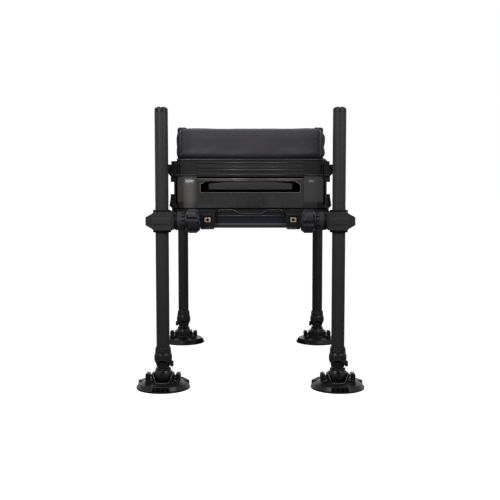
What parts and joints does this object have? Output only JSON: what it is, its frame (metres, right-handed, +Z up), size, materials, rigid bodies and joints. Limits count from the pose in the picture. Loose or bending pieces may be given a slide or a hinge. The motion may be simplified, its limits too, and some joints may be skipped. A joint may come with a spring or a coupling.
{
  "type": "fishing seat box",
  "caption": "Angler's seat box on adjustable tube legs with swivelling mud feet, a front drawer, a tray and a hinged cushion lid.",
  "frame": {"origin": "on the floor, under the middle of the seat's footprint", "axes": "+Z up, -Y towards the drawer side, +X towards the hinge side of the lid"},
  "size_m": [0.434, 0.562, 0.5296],
  "materials": {
    "anodised_tube": "satin black anodised",
    "anodised_beam": "satin blue-black anodised",
    "anodised_profile": "satin black anodised",
    "cast_black": "black powder coat",
    "casting_black": "fine grain black",
    "black_plastic": "fine grain",
    "gloss_black_plastic": "semi gloss",
    "knob_plastic": "fine grain",
    "nylon": "smooth nylon",
    "screw_steel": "black zinc",
    "bronze": "dull",
    "deck_black": "satin",
    "post_gloss": "gloss",
    "panel_black": "satin",
    "drawer_gloss": "gloss",
    "handle_rubber": "soft touch",
    "tray_plastic": "moulded",
    "board_black": "moulded",
    "seat_cover": "coated cloth"
  },
  "bodies": {
    "frame": {"corner_blocks": "cast_black", "leg_bushes": "nylon", "clamp_collars": "cast_black", "cross_beams": "anodised_beam", "side_beams": "anodised_beam", "frame_bolts": "screw_steel", "accessory_brackets": "black_plastic", "accessory_nuts": "bronze", "deck": "deck_black", "case_floor": "deck_black", "case_posts": "post_gloss", "case_sides": "anodised_profile", "case_back": "panel_black", "drawer_runners": "nylon", "tray_corners": "casting_black", "tray_rails": "anodised_profile", "tray_base": "tray_plastic", "hinge_fixed_leaves": "screw_steel"},
    "lid": {"cushion_board": "board_black", "seat_cushion": "seat_cover", "hinge_lid_leaves": "screw_steel"},
    "drawer": {"drawer_tray": "tray_plastic", "drawer_front": "drawer_gloss", "drawer_handle": "handle_rubber"},
    "tray_catch_right": {"tray_catch_right": "black_plastic"},
    "tray_catch_left": {"tray_catch_left": "black_plastic"},
    "case_catch_right": {"case_catch_right": "black_plastic"},
    "case_catch_left": {"case_catch_left": "black_plastic"},
    "leg_front_left": {"leg_tube_front_left": "anodised_tube", "leg_cap_front_left": "black_plastic"},
    "ankle_front_left": {"ankle_front_left": "black_plastic"},
    "screw_front_left": {"knuckle_screw_front_left": "black_plastic"},
    "stem_front_left": {"ball_stem_front_left": "gloss_black_plastic"},
    "foot_front_left": {"foot_plate_front_left": "gloss_black_plastic"},
    "pad_front_left": {"clamp_pad_front_left": "nylon"},
    "nut_front_left": {"hand_nut_front_left": "knob_plastic"},
    "leg_front_right": {"leg_tube_front_right": "anodised_tube", "leg_cap_front_right": "black_plastic"},
    "ankle_front_right": {"ankle_front_right": "black_plastic"},
    "screw_front_right": {"knuckle_screw_front_right": "black_plastic"},
    "stem_front_right": {"ball_stem_front_right": "gloss_black_plastic"},
    "foot_front_right": {"foot_plate_front_right": "gloss_black_plastic"},
    "pad_front_right": {"clamp_pad_front_right": "nylon"},
    "nut_front_right": {"hand_nut_front_right": "knob_plastic"},
    "leg_rear_left": {"leg_tube_rear_left": "anodised_tube", "leg_cap_rear_left": "black_plastic"},
    "ankle_rear_left": {"ankle_rear_left": "black_plastic"},
    "screw_rear_left": {"knuckle_screw_rear_left": "black_plastic"},
    "stem_rear_left": {"ball_stem_rear_left": "gloss_black_plastic"},
    "foot_rear_left": {"foot_plate_rear_left": "gloss_black_plastic"},
    "pad_rear_left": {"clamp_pad_rear_left": "nylon"},
    "nut_rear_left": {"hand_nut_rear_left": "knob_plastic"},
    "leg_rear_right": {"leg_tube_rear_right": "anodised_tube", "leg_cap_rear_right": "black_plastic"},
    "ankle_rear_right": {"ankle_rear_right": "black_plastic"},
    "screw_rear_right": {"knuckle_screw_rear_right": "black_plastic"},
    "stem_rear_right": {"ball_stem_rear_right": "gloss_black_plastic"},
    "foot_rear_right": {"foot_plate_rear_right": "gloss_black_plastic"},
    "pad_rear_right": {"clamp_pad_rear_right": "nylon"},
    "nut_rear_right": {"hand_nut_rear_right": "knob_plastic"}
  },
  "joints": [
    {"name": "lid_open", "type": "hinge", "parent": "frame", "child": "lid", "pos_m": [0.1465, 0, 0.4348], "axis": [0, 1, 0], "range_deg": [0, 95]},
    {"name": "drawer_slide", "type": "slide", "parent": "frame", "child": "drawer", "axis": [0, -1, 0], "range_m": [0, 0.24]},
    {"name": "tray_catch_right_swing", "type": "hinge", "parent": "frame", "child": "tray_catch_right", "pos_m": [0.1557, -0.167, 0.4212], "axis": [0, -1, 0], "range_deg": [0, 75]},
    {"name": "tray_catch_left_swing", "type": "hinge", "parent": "frame", "child": "tray_catch_left", "pos_m": [-0.1557, -0.167, 0.4212], "axis": [0, 1, 0], "range_deg": [0, 75]},
    {"name": "case_catch_right_swing", "type": "hinge", "parent": "frame", "child": "case_catch_right", "pos_m": [0.1507, -0.167, 0.3642], "axis": [0, -1, 0], "range_deg": [0, 75]},
    {"name": "case_catch_left_swing", "type": "hinge", "parent": "frame", "child": "case_catch_left", "pos_m": [-0.1507, -0.167, 0.3642], "axis": [0, 1, 0], "range_deg": [0, 75]},
    {"name": "leg_slide_front_left", "type": "slide", "parent": "frame", "child": "leg_front_left", "axis": [0, 0, 1], "range_m": [-0.178, 0.212]},
    {"name": "ankle_turn_front_left", "type": "hinge", "parent": "leg_front_left", "child": "ankle_front_left", "pos_m": [-0.166, -0.23, 0.078], "axis": [0, 0, 1], "continuous": true},
    {"name": "knuckle_front_left", "type": "hinge", "parent": "ankle_front_left", "child": "stem_front_left", "pos_m": [-0.166, -0.23, 0.046], "axis": [1, 0, 0], "range_deg": [-20, 20]},
    {"name": "foot_tilt_front_left", "type": "hinge", "parent": "stem_front_left", "child": "foot_front_left", "pos_m": [-0.166, -0.23, 0.024], "axis": [0, 1, 0], "range_deg": [-15, 15]},
    {"name": "knuckle_screw_turn_front_left", "type": "hinge", "parent": "ankle_front_left", "child": "screw_front_left", "pos_m": [-0.166, -0.23, 0.046], "axis": [1, 0, 0], "range_deg": [0, 270]},
    {"name": "pad_slide_front_left", "type": "slide", "parent": "frame", "child": "pad_front_left", "axis": [1, 0, 0], "range_m": [0, 0.00151]},
    {"name": "hand_nut_turn_front_left", "type": "hinge", "parent": "pad_front_left", "child": "nut_front_left", "pos_m": [-0.166, -0.23, 0.3172], "axis": [1, 0, 0], "range_deg": [0, 360]},
    {"name": "leg_slide_front_right", "type": "slide", "parent": "frame", "child": "leg_front_right", "axis": [0, 0, 1], "range_m": [-0.178, 0.212]},
    {"name": "ankle_turn_front_right", "type": "hinge", "parent": "leg_front_right", "child": "ankle_front_right", "pos_m": [0.166, -0.23, 0.078], "axis": [0, 0, 1], "continuous": true},
    {"name": "knuckle_front_right", "type": "hinge", "parent": "ankle_front_right", "child": "stem_front_right", "pos_m": [0.166, -0.23, 0.046], "axis": [1, 0, 0], "range_deg": [-20, 20]},
    {"name": "foot_tilt_front_right", "type": "hinge", "parent": "stem_front_right", "child": "foot_front_right", "pos_m": [0.166, -0.23, 0.024], "axis": [0, 1, 0], "range_deg": [-15, 15]},
    {"name": "knuckle_screw_turn_front_right", "type": "hinge", "parent": "ankle_front_right", "child": "screw_front_right", "pos_m": [0.166, -0.23, 0.046], "axis": [1, 0, 0], "range_deg": [0, 270]},
    {"name": "pad_slide_front_right", "type": "slide", "parent": "frame", "child": "pad_front_right", "axis": [-1, 0, 0], "range_m": [0, 0.00151]},
    {"name": "hand_nut_turn_front_right", "type": "hinge", "parent": "pad_front_right", "child": "nut_front_right", "pos_m": [0.166, -0.23, 0.3172], "axis": [-1, 0, 0], "range_deg": [0, 360]},
    {"name": "leg_slide_rear_left", "type": "slide", "parent": "frame", "child": "leg_rear_left", "axis": [0, 0, 1], "range_m": [-0.178, 0.212]},
    {"name": "ankle_turn_rear_left", "type": "hinge", "parent": "leg_rear_left", "child": "ankle_rear_left", "pos_m": [-0.166, 0.23, 0.078], "axis": [0, 0, 1], "continuous": true},
    {"name": "knuckle_rear_left", "type": "hinge", "parent": "ankle_rear_left", "child": "stem_rear_left", "pos_m": [-0.166, 0.23, 0.046], "axis": [1, 0, 0], "range_deg": [-20, 20]},
    {"name": "foot_tilt_rear_left", "type": "hinge", "parent": "stem_rear_left", "child": "foot_rear_left", "pos_m": [-0.166, 0.23, 0.024], "axis": [0, 1, 0], "range_deg": [-15, 15]},
    {"name": "knuckle_screw_turn_rear_left", "type": "hinge", "parent": "ankle_rear_left", "child": "screw_rear_left", "pos_m": [-0.166, 0.23, 0.046], "axis": [-1, 0, 0], "range_deg": [0, 270]},
    {"name": "pad_slide_rear_left", "type": "slide", "parent": "frame", "child": "pad_rear_left", "axis": [1, 0, 0], "range_m": [0, 0.00151]},
    {"name": "hand_nut_turn_rear_left", "type": "hinge", "parent": "pad_rear_left", "child": "nut_rear_left", "pos_m": [-0.166, 0.23, 0.3172], "axis": [1, 0, 0], "range_deg": [0, 360]},
    {"name": "leg_slide_rear_right", "type": "slide", "parent": "frame", "child": "leg_rear_right", "axis": [0, 0, 1], "range_m": [-0.178, 0.212]},
    {"name": "ankle_turn_rear_right", "type": "hinge", "parent": "leg_rear_right", "child": "ankle_rear_right", "pos_m": [0.166, 0.23, 0.078], "axis": [0, 0, 1], "continuous": true},
    {"name": "knuckle_rear_right", "type": "hinge", "parent": "ankle_rear_right", "child": "stem_rear_right", "pos_m": [0.166, 0.23, 0.046], "axis": [1, 0, 0], "range_deg": [-20, 20]},
    {"name": "foot_tilt_rear_right", "type": "hinge", "parent": "stem_rear_right", "child": "foot_rear_right", "pos_m": [0.166, 0.23, 0.024], "axis": [0, 1, 0], "range_deg": [-15, 15]},
    {"name": "knuckle_screw_turn_rear_right", "type": "hinge", "parent": "ankle_rear_right", "child": "screw_rear_right", "pos_m": [0.166, 0.23, 0.046], "axis": [-1, 0, 0], "range_deg": [0, 270]},
    {"name": "pad_slide_rear_right", "type": "slide", "parent": "frame", "child": "pad_rear_right", "axis": [-1, 0, 0], "range_m": [0, 0.00151]},
    {"name": "hand_nut_turn_rear_right", "type": "hinge", "parent": "pad_rear_right", "child": "nut_rear_right", "pos_m": [0.166, 0.23, 0.3172], "axis": [-1, 0, 0], "range_deg": [0, 360]}
  ],
  "couplings": [
    {"joint": "pad_slide_front_left", "follows": "hand_nut_turn_front_left", "m_per_rad": 0.00023873},
    {"joint": "pad_slide_front_right", "follows": "hand_nut_turn_front_right", "m_per_rad": 0.00023873},
    {"joint": "pad_slide_rear_left", "follows": "hand_nut_turn_rear_left", "m_per_rad": 0.00023873},
    {"joint": "pad_slide_rear_right", "follows": "hand_nut_turn_rear_right", "m_per_rad": 0.00023873}
  ]
}
